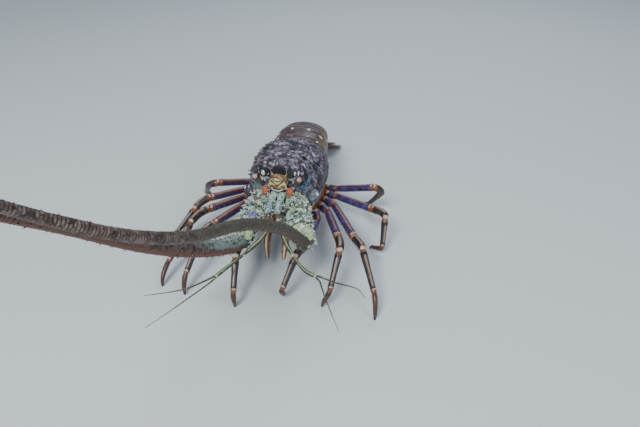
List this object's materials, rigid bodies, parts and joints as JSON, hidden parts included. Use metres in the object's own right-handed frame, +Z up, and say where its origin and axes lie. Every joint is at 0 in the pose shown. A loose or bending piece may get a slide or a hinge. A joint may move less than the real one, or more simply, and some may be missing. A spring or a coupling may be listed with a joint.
{
  "type": "spiny lobster",
  "caption": "Life-size still model of a spiny lobster standing on its walking legs, long antennae raised forward and spiny shell.",
  "frame": {"origin": "middle of the bounding box, on the floor under the feet", "axes": "+Z up; the head looks along -Y and the tail lies towards +Y; +X is the animal's left"},
  "size_m": [0.2756, 0.6844, 0.3856],
  "materials": {
    "shell_grey": "lilac-grey shell mottled with dark purple",
    "tail_maroon": "dark maroon tail with cream spots",
    "horn_black": "black-green with white bands",
    "eye_dark": "glossy dark eye with a pinkish tan face",
    "face_cream": "cream and yellow-green plate",
    "antenna_teal": "pale teal-green with brown and violet-blue patches",
    "antennule_green": "green with pale joints",
    "leg_violet": "violet-blue with a cream line along the top",
    "leg_brown": "brown with lengthwise cream stripes",
    "belly_tan": "tan underside with cream patches"
  },
  "bodies": {
    "root": {"carapace": "shell_grey", "sternum": "belly_tan", "abdomen_1": "tail_maroon", "abdomen_2": "tail_maroon", "abdomen_3": "tail_maroon", "abdomen_4": "tail_maroon", "abdomen_5": "tail_maroon", "abdomen_6": "tail_maroon", "telson": "tail_maroon", "uropod_left_inner": "tail_maroon", "uropod_left_outer": "tail_maroon", "uropod_right_inner": "tail_maroon", "uropod_right_outer": "tail_maroon", "antennular_plate": "face_cream", "horn_left": "horn_black", "eyestalk_left": "horn_black", "eye_left": "eye_dark", "antennule_left_base": "antennule_green", "antennule_left_outer": "antennule_green", "antennule_left_inner": "antennule_green", "antenna_left_base_1": "antenna_teal", "antenna_left_base_2": "antenna_teal", "antenna_left_base_3": "antenna_teal", "antenna_left_whip_1": "antenna_teal", "antenna_left_whip_2": "antenna_teal", "antenna_left_whip_3": "antenna_teal", "maxilliped_left": "leg_brown", "leg_left_1_upper": "leg_violet", "leg_left_1_lower": "leg_brown", "leg_left_2_upper": "leg_violet", "leg_left_2_lower": "leg_brown", "leg_left_3_upper": "leg_violet", "leg_left_3_lower": "leg_brown", "leg_left_4_upper": "leg_violet", "leg_left_4_lower": "leg_brown", "leg_left_5_upper": "leg_violet", "leg_left_5_lower": "leg_brown", "horn_right": "horn_black", "eyestalk_right": "horn_black", "eye_right": "eye_dark", "antennule_right_base": "antennule_green", "antennule_right_outer": "antennule_green", "antennule_right_inner": "antennule_green", "antenna_right_base_1": "antenna_teal", "antenna_right_base_2": "antenna_teal", "antenna_right_base_3": "antenna_teal", "antenna_right_whip_1": "antenna_teal", "antenna_right_whip_2": "antenna_teal", "antenna_right_whip_3": "antenna_teal", "maxilliped_right": "leg_brown", "leg_right_1_upper": "leg_violet", "leg_right_1_lower": "leg_brown", "leg_right_2_upper": "leg_violet", "leg_right_2_lower": "leg_brown", "leg_right_3_upper": "leg_violet", "leg_right_3_lower": "leg_brown", "leg_right_4_upper": "leg_violet", "leg_right_4_lower": "leg_brown", "leg_right_5_upper": "leg_violet", "leg_right_5_lower": "leg_brown"}
  },
  "joints": []
}
